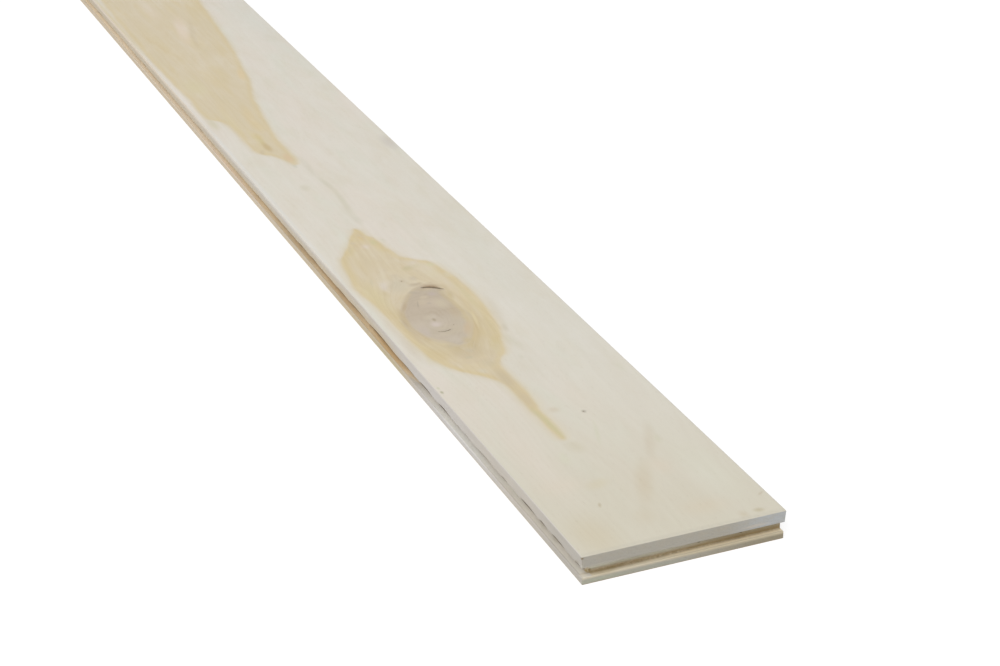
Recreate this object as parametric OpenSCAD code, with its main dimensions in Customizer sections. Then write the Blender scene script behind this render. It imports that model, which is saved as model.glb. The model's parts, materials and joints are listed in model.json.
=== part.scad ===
// Solid wood board, end matched: a groove along its left side and its near end,
// a tongue along its right side and its far end, all milled at one height.
// X runs across the face, Y along the grain and Z up from the back.

/* [Board] */
// Length of the face, without the end tongue
board_length = 1219.2; // [300:0.1:2440]
// Width of the face, without the side tongue
face_width = 127; // [57:0.5:200]
// Thickness from the back to the face
thickness = 19.05; // [16:0.05:28]

/* [Edges] */
// Width of the small bevel that eases the edges of the face
face_bevel = 0.5; // [0.2:0.1:1.5]
// Width of the small bevel along the edges of the back
back_bevel = 0.4; // [0.2:0.1:1]
// How far the upper lip leans in between the face and the joint
lip_undercut = 0.4; // [0.1:0.1:1]
// How far the lower lip of a groove stands back from the face
lower_lip_setback = 1.0; // [0.5:0.1:2]

/* [Groove] */
// Wood left between the face and the joint
wear_depth = 7.9; // [6:0.1:10]
// Height of the groove
groove_height = 6.4; // [4.8:0.1:8]
// Depth of the side groove, from the edge of the face
side_groove_depth = 7; // [6:0.1:10]
// Depth of the end groove, from the edge of the face
end_groove_depth = 5.2; // [4.8:0.1:8]
// Bevel at the mouth of the groove
mouth_bevel = 0.5; // [0.2:0.1:0.8]
// Radius in the two inner corners of the groove
groove_corner = 0.6; // [0.2:0.1:1.5]

/* [Tongue] */
// Height that the tongue is thinner than the groove
joint_play = 0.3; // [0.1:0.05:0.6]
// Gap left between the tongue's nose and the bottom of the groove
nose_gap = 0.8; // [0.3:0.1:1.5]
// Radius along the two edges of the tongue's nose
nose_radius = 1.4; // [0.5:0.1:2]
// Length of side tongue trimmed off at the grooved end
tongue_trim = 15; // [8:0.5:40]

/* [Hidden] */
$fn = 48;
joint_floor = thickness - wear_depth - groove_height;
joint_top = thickness - wear_depth;
overrun = 20;

// Right-hand half-open outline of the milled edge: the upper lip with its bevel and undercut.
function face_edge(span) = [
    [span - lip_undercut, joint_top],
    [span, thickness - face_bevel],
    [span - face_bevel, thickness]
];

// Left-hand outline, from the face down to the joint.
function face_start() = [
    [face_bevel, thickness],
    [0, thickness - face_bevel],
    [lip_undercut, joint_top]
];

// Section of the blank before its joint is milled: the lower lip stands back on the
// groove side and follows the foot of the upper lip on the tongue side.
module blank_section(span) {
    polygon(concat(
        [[lower_lip_setback, back_bevel], [lower_lip_setback + back_bevel, 0]],
        [[span - lip_undercut - back_bevel, 0], [span - lip_undercut, back_bevel]],
        face_edge(span),
        face_start(),
        [[lower_lip_setback, joint_top]]
    ));
}

// Cutter of the groove: rounded inner corners and a bevelled mouth at each lip.
module groove_section(depth) {
    translate([-overrun, joint_floor])
        square([overrun + depth - groove_corner, groove_height]);
    translate([-overrun, joint_floor + groove_corner])
        square([overrun + depth, groove_height - 2 * groove_corner]);
    for (z = [joint_floor + groove_corner, joint_top - groove_corner])
        translate([depth - groove_corner, z]) circle(groove_corner);
    mouth_section(lip_undercut, joint_top, 1);
    mouth_section(lower_lip_setback, joint_floor, -1);
}

// Bevel where a lip meets the groove: it opens upwards (side 1) or downwards (side -1).
module mouth_section(edge, height, side) {
    polygon([
        [edge - overrun, height - side * groove_corner],
        [edge - overrun, height + side * mouth_bevel],
        [edge, height + side * mouth_bevel],
        [edge + mouth_bevel, height],
        [edge + mouth_bevel, height - side * groove_corner]
    ]);
}

// Tongue with its rounded nose, standing out of the edge at x = 0.
module tongue_section(reach) {
    height = groove_height - joint_play;
    translate([-mouth_bevel, 0]) square([mouth_bevel + reach - nose_radius, height]);
    translate([0, nose_radius]) square([reach, height - 2 * nose_radius]);
    for (z = [nose_radius, height - nose_radius])
        translate([reach - nose_radius, z]) circle(nose_radius);
}

// Whole milled section across one direction: groove at 0, tongue past span.
module milled_section(span, groove_depth) {
    difference() {
        blank_section(span);
        groove_section(groove_depth);
    }
    translate([span - lip_undercut, joint_floor + joint_play / 2])
        tongue_section(groove_depth + lip_undercut - nose_gap);
}

// The side profile run along the grain.
module side_run() {
    translate([0, board_length + overrun, 0])
        rotate([90, 0, 0])
            linear_extrude(board_length + 2 * overrun)
                milled_section(face_width, side_groove_depth);
}

// The end profile run across the face.
module end_run() {
    translate([-overrun, 0, 0])
        rotate([90, 0, 90])
            linear_extrude(face_width + 2 * overrun)
                milled_section(board_length, end_groove_depth);
}

// Waste at the grooved end, where the side tongue is trimmed back to the edge.
module tongue_waste() {
    translate([face_width - lip_undercut, -overrun, joint_floor])
        cube([overrun, overrun + tongue_trim, groove_height]);
}

// The board, with the middle of its back at the origin.
module board() {
    color("antiquewhite")
        translate([-face_width / 2, -board_length / 2, 0])
            difference() {
                intersection() {
                    side_run();
                    end_run();
                }
                tongue_waste();
            }
}

board();
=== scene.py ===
"""A tongue and groove floorboard of whitewashed wood, lying face up on a pale studio floor.

The board is milled as a real one is: one run of the side profile along the grain, crossed by
one run of the end profile, and a short trim of the side tongue. Lengths are metres in the mesh
and millimetres in the materials, counted there from the board's near left corner.
"""

import json
import math

import bmesh
import bpy
from bpy.props import FloatProperty, FloatVectorProperty, PointerProperty
from bpy.types import Operator, Panel, PropertyGroup
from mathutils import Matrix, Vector, noise


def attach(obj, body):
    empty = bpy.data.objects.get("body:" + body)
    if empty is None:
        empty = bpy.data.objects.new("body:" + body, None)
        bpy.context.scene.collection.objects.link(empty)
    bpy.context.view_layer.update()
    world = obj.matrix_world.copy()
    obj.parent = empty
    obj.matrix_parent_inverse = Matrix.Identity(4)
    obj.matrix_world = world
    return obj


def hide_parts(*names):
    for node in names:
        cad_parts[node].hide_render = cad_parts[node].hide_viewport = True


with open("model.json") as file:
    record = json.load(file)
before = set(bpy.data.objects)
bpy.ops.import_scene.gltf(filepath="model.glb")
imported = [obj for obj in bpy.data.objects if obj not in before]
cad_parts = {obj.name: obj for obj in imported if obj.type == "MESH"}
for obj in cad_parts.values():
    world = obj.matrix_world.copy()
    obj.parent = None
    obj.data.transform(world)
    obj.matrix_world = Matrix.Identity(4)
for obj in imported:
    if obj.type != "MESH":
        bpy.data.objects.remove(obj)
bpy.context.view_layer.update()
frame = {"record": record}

bl_info = {
    "name": "Tongue and Groove Board",
    "version": (1, 0, 0),
    "blender": (4, 5, 0),
    "location": "View3D > Sidebar > Board",
    "description": "Mills a whitewashed tongue and groove board and sets it on a studio floor",
    "category": "Add Mesh",
}

MM = 0.001
MOUNTS = {mount["name"]: mount["pos_m"] for mount in frame["record"]["mounts"]}
LEFT = MOUNTS["side_groove"][0]
NEAR = MOUNTS["end_groove"][1]
WIDTH = -2 * LEFT
LENGTH = -2 * NEAR
THICKNESS = MOUNTS["face"][2]
TONGUE_OUT = MOUNTS["side_tongue"][0] - WIDTH / 2
END_TONGUE_OUT = MOUNTS["end_tongue"][1] - LENGTH / 2
WEAR = 7.9 * MM

# For milling: how far a run goes past the board, how far the end run reaches past the face and
# the back so that it leaves both whole, the width of a column of the mesh, and how near two
# places have to be to count as one.
OVERRUN = 20 * MM
PROUD = 0.02 * MM
COLUMN = 8 * MM
SAME_PLACE = 1e-6
WELD = 1e-7

# For wear: the finer mesh around a crack and a pin hole, and how many millimetres past them it
# reaches, a hole's depth as a share of its radius, and how tall the lip's fraying is between its
# chips, as a share of the lip's deepest chips, and how quickly it changes.
CRACK_CELL = 0.28 * MM
CRACK_ROOM = 1.2
HOLE_CELL = 0.45 * MM
HOLE_ROOM = 0.8
HOLE_DEPTH = 0.4
FRAY_HEIGHT = 0.12
FRAY_PACE = 0.11

# For the finishes, in millimetres: the face and the top of the joint over the back, the half
# height of a mark that goes through the whole board, the widest edge of a stain that can be set,
# and the planer's step.
TOP = THICKNESS / MM
JOINT_TOP = (THICKNESS - WEAR) / MM
DEEP = 40
WIDEST = 130
PLANER_STEP = 5.5
ORIGIN = (0, 0, 0)

# For the stage, in metres.
FLOOR_REACH = 15.0
SOFTBOX_PLACE = Vector((-3.7, -2.7, 3.9))
SOFTBOX_SIZE = 4.5
CAMERA_REACH = 60
WHITE = (1, 1, 1)

# Places below are millimetres across and along the board from the near left corner of its face.
# A chip in the groove's upper lip: where it starts and ends along the board, and its height.
LIP_CHIPS = [
    (2, 10, 0.5), (22.5, 40, 0.85), (46.5, 57, 0.75), (61.5, 84, 0.85), (101, 112, 0.6),
    (124, 147, 0.4), (161, 168, 0.4), (174, 180, 0.35), (189, 210, 1.0), (219, 242, 0.8),
    (250, 276, 0.35), (288, 333, 0.8), (338, 371, 0.5), (376, 395, 0.35), (436, 452, 0.45),
    (459, 479, 0.4), (566, 576, 0.3), (712, 732, 0.4), (883, 896, 0.4), (1031, 1053, 0.4),
    (1167, 1180, 0.4),
]
# A crack: a line of places, its widest opening and its depth.
CRACKS = [
    ([(46.5, 356.5), (50, 356.8), (53, 356), (55.5, 354.2), (58, 351.8), (60.5, 348.5)], 3.4, 2.0),
    ([(31.5, 290.5), (33.5, 289), (36, 288), (39, 288.5), (42, 290), (44.5, 293), (46, 296)], 0.7, 0.35),
    ([(36.2, 310), (36.5, 307), (36.3, 304)], 1.2, 0.45),
]
# A pin hole: its place and its radius.
PIN_HOLES = [(72.5, 152, 0.9), (38.5, 372, 0.7), (34, 47.5, 0.8), (113, 5, 0.9), (3, 210, 0.8)]

# A stain: its left and right edges as (along, across), the softness of those edges, the width of
# its golden rim, how strong that rim and the halo round the stain are, and the marks on it.
# A mark: its place, its half sizes across and along, its colour in 0 to 255 display values, its
# strength and, unless they are 0 and 0.9, its turn in degrees and its softness.
FAR_PATCH = {
    "left": [
        (600, 39.5), (608, 37.5), (620, 32.5), (630, 26.5), (638, 20.5), (649, 19), (669, 18.5),
        (700, 18), (711, 16), (718, 10.5), (724, 6), (751, 5), (777, 6), (796, 4.5), (1021, 4.5),
        (1219.2, 12.5),
    ],
    "right": [
        (600, 40.5), (608, 44), (623, 44.5), (649, 45), (700, 48.8), (757, 57), (798, 66.5), (820, 69),
        (876, 77), (944, 83), (1022, 89), (1219.2, 105.5),
    ],
    "soft": 4.5,
    "rim": 7.0,
    "gold": 0.5,
    "halo": 0.3,
    "marks": [
        (50, 945, 8.5, 58, 219, 203, 183, 0.85, 9), (39, 1011, 9, 40, 216, 202, 180, 0.6, 0, 0.8),
        (57.5, 938, 4.6, 44, 200, 184, 151, 0.7, 11), (52, 908, 3.4, 28, 203, 186, 152, 0.6, 9),
        (20.5, 908, 4.2, 58, 203, 184, 145, 0.65, -10), (34, 935, 5, 56, 205, 188, 152, 0.45, 0, 1.0),
        (63.5, 814, 4.5, 22, 215, 194, 152, 0.8, 10, 0.8), (18.5, 798, 14, 34, 209, 198, 160, 0.7),
        (31.5, 669, 6, 14, 208, 190, 142, 0.8), (31, 659, 4, 17, 203, 188, 142, 0.9, 0, 0.8),
        (31.6, 645, 4.4, 15, 196, 176, 134, 1.0, 0, 0.8),
        (39.5, 618, 4.4, 14, 210, 186, 150, 0.9, 0, 0.8), (39, 692, 7, 22, 211, 193, 150, 0.7),
        (24.5, 636, 3, 9, 196, 180, 150, 0.5, 20, 0.8), (39, 716, 7, 40, 211, 191, 146, 0.6, 6),
        (22.5, 710, 6, 40, 210, 196, 156, 0.6), (21.5, 908, 9, 80, 207, 190, 146, 0.5, -6, 1.0),
        (29, 675, 4, 30, 209, 194, 152, 0.5, 0, 1.0),
    ],
}
KNOT_PATCH = {
    "left": [
        (123, 45), (141, 43.5), (160, 42.8), (183, 43), (205, 41.5), (216, 36), (223, 30.3),
        (233, 22.3), (242, 17.2), (254, 13.5), (272, 11.2), (292, 9.7), (337, 7.9), (353, 6.5),
        (363, 4.8), (376, 5), (388, 6.6), (409, 9), (422, 12.5), (429, 17), (435, 20.5), (442, 24),
        (455, 31), (464, 36.5), (470, 38.5),
    ],
    "right": [
        (123, 47.5), (131, 49), (141, 49.5), (165, 49.2), (171, 50.8), (216, 50.6), (230, 51.2),
        (237, 54.6), (244, 60.4), (262, 66.3), (282, 71.8), (302, 74.8), (333, 77), (363, 75.2),
        (375, 72.8), (385, 71.4), (394, 68.4), (402, 61), (411, 53.2), (419, 51.2), (430, 48.8),
        (439, 48.2), (448, 46.3), (454, 43.4), (464, 42), (470, 40),
    ],
    "soft": 4.0,
    "rim": 9.0,
    "gold": 0.7,
    "halo": 0.4,
    "marks": [
        (14, 355, 9, 40, 209, 195, 154, 0.8), (13, 312, 4.5, 42, 206, 188, 148, 0.85),
        (18.5, 302, 5, 38, 194, 176, 147, 0.75, 4), (20, 257, 8, 20, 206, 188, 147, 0.95, -22),
        (61.5, 300, 8, 44, 203, 186, 147, 0.85, 8), (67.5, 287, 6, 24, 205, 189, 148, 0.8, 8),
        (70.5, 333, 4, 34, 207, 194, 152, 0.7), (35.5, 404, 20, 34, 207, 192, 160, 0.85),
        (34.5, 367, 13, 20, 202, 191, 167, 0.95, 18), (24.5, 369, 4, 12, 213, 202, 186, 0.9, 16),
        (28.5, 383, 4.5, 11, 213, 202, 177, 0.7, 14), (19, 378, 1.8, 9, 201, 189, 158, 0.8, 14),
        (62.5, 375, 8, 12, 210, 198, 166, 0.7), (38.5, 453, 4, 12, 204, 186, 150, 1.0, 6, 0.8),
        (31.5, 440, 10, 13, 207, 189, 152, 0.8, 20), (24, 435, 1.8, 9, 201, 187, 156, 0.9, 16),
        (29.5, 445, 4, 1.8, 202, 188, 160, 0.8, 20), (43.8, 441, 4, 8, 199, 189, 144, 0.9),
        (36, 436, 5, 6, 214, 200, 184, 0.7), (50, 391, 5, 3.4, 195, 186, 156, 0.9, -40),
        (67, 390, 5, 5, 206, 198, 162, 0.8), (57.5, 398, 8, 4, 208, 194, 172, 0.6, -40),
        (53.5, 280, 6.5, 28, 198, 178, 138, 1.0, 26, 0.8), (38.5, 254, 15, 16, 197, 181, 151, 0.95, 12),
        (43.5, 265, 8, 7, 193, 175, 142, 0.8), (40.5, 241, 24, 5, 205, 189, 159, 0.7),
        (36.5, 264, 3.4, 5, 186, 174, 154, 0.8, 10), (45.5, 260, 2, 7, 190, 176, 152, 0.7, 14),
        (36.5, 247, 4, 3, 192, 182, 154, 0.7), (61.5, 296, 1.5, 20, 215, 200, 160, 0.6, 12, 0.7),
        (66.5, 328, 1.6, 18, 214, 199, 160, 0.5, 8, 0.7), (45.5, 211, 8, 26, 198, 183, 152, 0.95),
        (46.5, 181, 6, 20, 200, 184, 152, 0.9), (47, 143, 4, 30, 200, 192, 152, 0.9, -2),
        (37.5, 226, 4.5, 6, 208, 198, 174, 0.8, -30), (38, 268, 32, 26, 197, 180, 138, 0.65, 0, 1.0),
        (37, 262, 10, 9, 191, 174, 138, 0.5), (45, 272, 9, 9, 195, 177, 136, 0.6),
        (59, 277, 6, 12, 203, 186, 144, 0.6, 14), (66, 334, 5, 26, 204, 186, 148, 0.55),
        (62, 352, 3.4, 9, 199, 182, 148, 0.7), (57, 392, 4, 5, 202, 189, 154, 0.7),
        (37, 382, 4, 5, 198, 184, 158, 0.6), (47.5, 373, 4, 6, 196, 182, 158, 0.75),
        (16, 303, 3.4, 32, 196, 178, 140, 0.5), (21, 357, 3, 9, 202, 187, 148, 0.6),
        (61.5, 264, 5, 12, 205, 189, 146, 0.7), (46.5, 271, 4, 8, 192, 175, 136, 0.75),
        (32, 267, 5, 5, 192, 178, 148, 0.7), (22, 283, 3.4, 9, 194, 177, 147, 0.7, 8),
        (40.5, 256, 4, 5, 190, 177, 150, 0.6), (50, 390, 8, 6, 199, 187, 148, 0.7, -30),
        (28, 374, 5, 8, 217, 206, 186, 0.6, 12), (37.3, 451, 3.8, 7, 206, 184, 138, 0.8, 6),
        (44.5, 160, 3, 13, 198, 189, 150, 0.7), (17, 314, 7, 30, 202, 184, 136, 0.45, 2),
        (58, 253, 5, 12, 201, 187, 150, 0.6, 20), (71, 370, 3.5, 6, 210, 200, 172, 0.6),
        (25, 433, 4, 12, 204, 188, 146, 0.6, 16), (35.5, 448, 6, 8, 208, 190, 144, 0.5),
        (45, 235, 8, 9, 196, 183, 154, 0.6), (51, 248, 8, 10, 199, 183, 148, 0.5, 0, 1.0),
        (45, 265, 7, 11, 192, 173, 132, 0.5, 0, 1.0), (58, 258, 4, 14, 203, 187, 140, 0.5, 10),
    ],
}
KNOT = {
    "left": [
        (264, 36.5), (270, 31.5), (280, 24), (292, 18.5), (302, 16), (310, 16), (322, 18.5), (332, 23),
        (345, 30.5), (353, 36.5), (360, 44.5),
    ],
    "right": [
        (264, 40.5), (270, 46.5), (280, 52.5), (292, 57.5), (304, 60.5), (320, 59.5), (338, 59),
        (353, 58.5), (360, 52.5),
    ],
    "soft": 4.0,
    "rim": 5.0,
    "marks": [
        (46.5, 332, 8.5, 11, 198, 184, 164, 0.8, 12), (50, 345, 5, 5, 189, 176, 168, 0.7),
        (51.5, 354, 7, 3.4, 195, 179, 152, 0.8, -24), (35, 300, 5.5, 6, 204, 190, 181, 0.8),
        (38, 312, 3, 5, 200, 189, 172, 0.7, 8), (35.5, 334, 0.9, 7, 160, 150, 134, 0.8, 18, 0.8),
        (42.5, 332, 3, 2.2, 178, 167, 154, 0.7, 30), (53.5, 312, 6, 18, 189, 173, 146, 0.85, 6),
        (42, 289, 24, 12, 188, 174, 146, 0.45, 0, 1.0), (57, 300, 4, 14, 195, 178, 138, 0.8),
        (30, 290, 6, 7, 181, 167, 146, 0.6), (43, 342, 4.5, 4, 204, 190, 166, 0.6),
        (34, 312, 5, 5, 202, 191, 170, 0.5), (56.5, 338, 3, 14, 192, 177, 146, 0.8),
        (24, 292, 5, 12, 189, 177, 168, 0.7, 8), (25, 333, 3.4, 11, 184, 166, 138, 0.9, 28),
        (17, 310, 2, 12, 182, 166, 142, 0.9, 4), (38.5, 352, 8, 3.4, 180, 168, 148, 0.7, 40),
        (38.5, 275, 8, 9, 194, 182, 164, 0.7), (52.5, 288, 4.4, 15, 196, 174, 140, 0.8, 24),
        (24, 293, 5, 14, 187, 172, 152, 0.5, 12), (45, 297, 7, 8, 186, 171, 150, 0.6),
        (39, 335, 6, 9, 202, 188, 164, 0.6, 10), (45, 271, 5, 7, 190, 172, 130, 0.6),
        (50.5, 328, 7, 12, 203, 192, 166, 0.6, 8), (50, 300, 8, 11, 184, 171, 146, 0.4, 0, 1.0),
        (46, 354, 6, 3.4, 182, 166, 134, 0.5, 10),
    ],
}
FACE_MARKS = [
    (53, 357, 9.5, 5.5, 170, 146, 116, 0.75, 24, 0.8), (37.5, 289, 8, 3.2, 172, 160, 142, 0.6, -10),
    (36.5, 307, 1.8, 4, 156, 140, 114, 0.7, 5), (38.5, 372, 3, 4, 184, 163, 130, 0.4),
    (72.5, 152, 2.2, 3, 150, 142, 124, 0.6), (33, 46.5, 1.5, 4, 178, 164, 132, 0.6, 20),
    (113, 6.5, 5, 3.4, 186, 176, 146, 0.7, 10), (103, 5.5, 4, 6, 196, 184, 158, 0.5, 0, 1.0),
    (123, 22.5, 1.6, 4, 190, 178, 156, 0.6, 55), (2.5, 209, 1.6, 3, 166, 164, 132, 0.8),
    (2.5, 215, 1.4, 3, 190, 192, 160, 0.6), (46.5, 357, 9, 6, 186, 170, 144, 0.5, -20),
    (44, 363, 6, 4.5, 188, 173, 148, 0.8, -10), (54.5, 361.5, 5, 3, 200, 184, 156, 0.7, -10),
    (47.5, 363.5, 4.5, 3, 184, 168, 140, 0.7, -10), (60.8, 339, 3.4, 11, 194, 177, 138, 0.8, 8),
    (55, 354.5, 5, 3.4, 150, 130, 98, 0.55, 24, 0.8), (57, 349.5, 3, 4.5, 174, 158, 134, 0.6),
    (59, 322, 3, 36, 202, 185, 142, 0.5), (18.5, 314, 3.4, 26, 192, 172, 130, 0.45, 4),
    (20.5, 284, 4, 20, 196, 176, 134, 0.4, -8), (0.5, 1000, 4, 130, 209, 194, 160, 0.85),
    (2.4, 780, 2.6, 120, 228, 218, 207, 0.6),
]
SAPWOOD_MARKS = [
    (93.5, 104.5, 5.5, 34, 201, 191, 170, 0.65, 24), (68, 60.5, 8, 38, 202, 190, 166, 0.6, 24),
    (68.5, 125, 2.4, 22, 204, 202, 178, 0.5, 18), (37, 102.5, 5, 12, 208, 206, 184, 0.6, 10),
    (49, 113.5, 9, 12, 203, 196, 174, 0.7, 0, 1.0), (42, 68.5, 12, 8, 206, 196, 168, 0.5, -20),
    (119, 197, 4, 12, 208, 206, 184, 0.5), (67.5, 235, 3.5, 4.5, 206, 202, 186, 0.6),
    (1.5, 608, 2.6, 400, 218, 216, 212, 0.6), (51, 25.5, 10, 14, 202, 191, 167, 0.4, 20, 1.0),
    (98.5, 103.5, 3, 8, 196, 192, 164, 0.5, 10), (16, 18.5, 20, 34, 203, 192, 165, 0.6, 0, 1.0),
    (84.5, 74.5, 12, 16, 214, 202, 182, 0.5, 0, 1.0), (22, 74.5, 22, 14, 214, 203, 184, 0.5, 0, 1.0),
    (88, 22.5, 24, 14, 209, 197, 174, 0.5, 0, 1.0), (56.5, 161, 6, 6, 205, 195, 174, 0.8, 0, 1.0),
    (108.5, 60.5, 18, 60, 211, 210, 192, 0.5, 0, 1.0), (47, 594, 4.4, 34, 204, 197, 179, 0.6, 2),
    (49.2, 557, 4, 20, 202, 197, 178, 0.6, -6), (49.6, 524, 4, 30, 202, 197, 176, 0.6, 3),
    (47.2, 503, 4.4, 20, 203, 198, 179, 0.5, 6), (47, 483, 4, 14, 203, 198, 180, 0.6),
    (39, 600, 2.6, 7, 199, 195, 178, 0.8), (31.5, 555, 6, 9, 203, 197, 177, 0.6),
    (122.5, 618, 8, 24, 196, 189, 182, 0.7), (20, 110.5, 18, 90, 217, 207, 193, 0.5, 0, 1.0),
    (113, 333, 44, 420, 212, 208, 195, 0.7, 0, 1.0), (121, 970, 30, 240, 212, 210, 201, 0.5, 0, 1.0),
    (7, 278, 5.5, 36, 205, 195, 177, 0.85, 0, 1.0), (6, 306, 5, 26, 207, 197, 178, 0.75, 0, 1.0),
    (78, 298, 5.5, 46, 208, 200, 183, 0.6, 9, 1.0), (74.5, 278, 3, 9, 198, 192, 174, 0.7, 9),
    (51, 442, 3, 5, 204, 200, 180, 0.6), (12, 256, 3.5, 18, 206, 197, 172, 0.5, 12, 1.0),
    (70.5, 259, 7, 24, 203, 197, 176, 0.75, -12, 1.0), (38, 222, 20, 16, 206, 198, 178, 0.4, 0, 1.0),
    (64, 225, 34, 60, 208, 203, 188, 0.45, 0, 1.0), (7.5, 709, 5, 20, 206, 199, 174, 0.8),
]
SIDE_MARKS = [
    (4, 302, 30, 50, 202, 172, 124, 0.9), (4, 388, 30, 60, 200, 176, 140, 0.8),
    (4, 485, 30, 80, 196, 176, 144, 0.8), (4, 741, 30, 190, 228, 215, 194, 0.75),
    (4, 1031, 30, 260, 238, 224, 200, 0.85, 0, 0.8),
]
LIP_MARKS = [(0, 220, 30, 85, 192, 187, 184, 0.5, 0, 1.0)]
# Dents, rubbed spots, painted shade and painted light by the two grooves, whose place and half sizes
# have a height as well.
CORNER_MARKS = [
    (0.4, 0.4, 17.8, 1.5, 1.5, 1.1, 118, 100, 62, 0.85),
    (0.4, 0.4, 12.6, 1.4, 1.4, 1.6, 206, 200, 188, 0.45),
    (0.3, 5.5, 12.6, 2, 3, 0.5, 140, 130, 112, 0.7), (15, 3, 4.75, 11, 4, 2.4, 190, 174, 140, 0.5),
    # The pale mark on the ledge at the near left corner, at (3, 3, 4.75), is painted light where the
    # lips shade it.
    (3, 3, 4.75, 3.4, 5, 1.2, 218, 210, 192, 0.7), (6.3, 7, 5.4, 1.6, 3.4, 2.4, 178, 156, 104, 0.9),
    (7.2, 5.2, 6.2, 1.5, 1.6, 2.6, 150, 128, 84, 0.85), (10, 0, 11.5, 20, 2, 1.2, 190, 184, 168, 0.6),
    (11, 5.2, 7.9, 20, 1, 1.3, 228, 225, 209, 0.7), (16, 5, 4.75, 20, 1.8, 0.9, 156, 136, 98, 0.6),
    (74.9, 5.2, 8.2, 1.5, 1.5, 1.1, 78, 64, 38, 0.85),
    (101.5, 5.2, 8.2, 1.6, 1.5, 1.1, 78, 66, 42, 0.85), (92, 5.2, 8.5, 16, 1.5, 0.7, 104, 88, 58, 0.6),
    (108, 0, 13.2, 13, 1.5, 1.3, 214, 198, 178, 0.4), (12, 0, 1.8, 26, 3, 2.4, 176, 180, 158, 0.7),
    (45, 0, 1.8, 34, 3, 2.2, 164, 168, 150, 0.5),
]
# Dark marks deepest in the side groove, by its back and under the lip, are painted shade; the pale marks
# at the back of its ledge between the lip's chips near the grooved end are painted light over the lip's
# shadow.
LEDGE_MARKS = [
    (2.4, 850, 4.75, 3.4, 340, 1.2, 236, 223, 203, 0.6),
    (4.6, 650, 4.75, 2.6, 90, 1.6, 226, 210, 178, 0.45), (1, 300, 2.4, 3, 48, 2.8, 176, 164, 128, 0.6),
    (1, 165, 2.8, 3, 90, 2.4, 200, 198, 197, 0.5), (2.6, 178, 4.75, 4.5, 85, 2, 226, 226, 221, 0.6),
    (5, 305, 4.75, 2.4, 50, 1.8, 152, 126, 88, 0.35),
    (1.6, 650, 4.75, 2.4, 120, 1.2, 230, 208, 186, 0.5),
    (6.8, 42, 4.75, 1.6, 32, 2.4, 110, 94, 70, 0.8), (4.4, 59, 4.75, 2, 6, 1.6, 196, 190, 174, 0.5),
    (4.4, 43, 4.75, 2, 5, 1.6, 196, 190, 174, 0.5), (4.6, 106, 4.75, 2, 26, 1.6, 226, 224, 212, 0.5),
    (6.8, 73, 4.75, 1.6, 18, 2.4, 104, 88, 66, 0.85), (0, 900, 17.6, 3, 330, 2.6, 222, 204, 178, 0.55),
    (5.2, 420, 4.75, 2, 100, 1.6, 160, 136, 100, 0.4),
]
# A knot on the back: its centre, half sizes, core, turn in degrees and ring spacing.
BACK_KNOTS = [((41, 318), (16, 34), (39, 311), 8, 2.3), ((88, 905), (5, 10), (88, 904), -6, 1.3)]
# How warm and how grey the washed long edge is, from 0 to 1, as (along, share).
SIDE_WARMTH = [(0, 0.1), (110, 0.3), (200, 0.05), (300, 0.35), (380, 0.7), (500, 0.35),
               (650, 0.4), (800, 0.85), (980, 0.95), (1219.2, 0.9)]
SIDE_GREY = [(0, 1.0), (22, 0.95), (60, 0.4), (110, 0.15), (300, 0.1), (1219.2, 0.0)]


def tone(red, green, blue):
    """A colour given as 0 to 255 display values, as the linear values that Blender keeps."""
    parts = [value / 255 for value in (red, green, blue)]
    return tuple(p / 12.92 if p <= 0.04045 else ((p + 0.055) / 1.055) ** 2.4 for p in parts)


# ---------------------------------------------------------------- settings


def length_value(name, description, default, low=0.0, high=3.0):
    return FloatProperty(
        name=name, description=description, default=default, min=low, max=high,
        unit="LENGTH", precision=5,
    )


def colour_value(name, description, red, green, blue):
    return FloatVectorProperty(
        name=name, description=description, default=tone(red, green, blue),
        subtype="COLOR", size=3, min=0.0, max=1.0,
    )


class BoardSizes(PropertyGroup):
    width: length_value("Face width", "Width of the face without the tongue", WIDTH)
    length: length_value("Face length", "Length of the face without the tongue", LENGTH)
    thickness: length_value("Thickness", "From the back to the face", THICKNESS)
    wear: length_value("Wear depth", "Wood between the face and the joint", WEAR)
    groove: length_value("Groove height", "Height of both grooves", 6.4 * MM)
    side_depth: length_value("Side groove depth", "Depth of the side groove", 7 * MM)
    end_depth: length_value("End groove depth", "Depth of the end groove", 5.2 * MM)
    side_tongue: length_value("Side tongue", "How far the side tongue stands out", TONGUE_OUT)
    end_tongue: length_value("End tongue", "How far the end tongue stands out", END_TONGUE_OUT)
    play: length_value("Joint play", "Height the tongue is thinner than the groove", 0.3 * MM)
    undercut: length_value("Lip undercut", "How far the upper lip leans in", 0.4 * MM)
    setback: length_value("Lower lip setback", "How far the lower lip stands back", 1 * MM)
    trim: length_value("Tongue trim", "Side tongue trimmed at the grooved end", 15 * MM)
    arris: length_value("Face arris", "Radius of the eased edges of the face", 0.5 * MM)
    back_arris: length_value("Back arris", "Bevel along the edges of the back", 0.4 * MM)
    mouth: length_value("Groove mouth", "Bevel at the mouth of a groove", 0.25 * MM)
    corner: length_value("Groove corner", "Radius inside a groove", 0.6 * MM)
    nose: length_value("Tongue nose", "Radius along a tongue's nose", 1.4 * MM)
    chip: length_value("Lip chips", "Height of the deepest chips in the groove's lip", 1.0 * MM)
    row: length_value("Mesh row", "Spacing of the rows along the grain", 1.5 * MM, 0.5 * MM)


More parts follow.
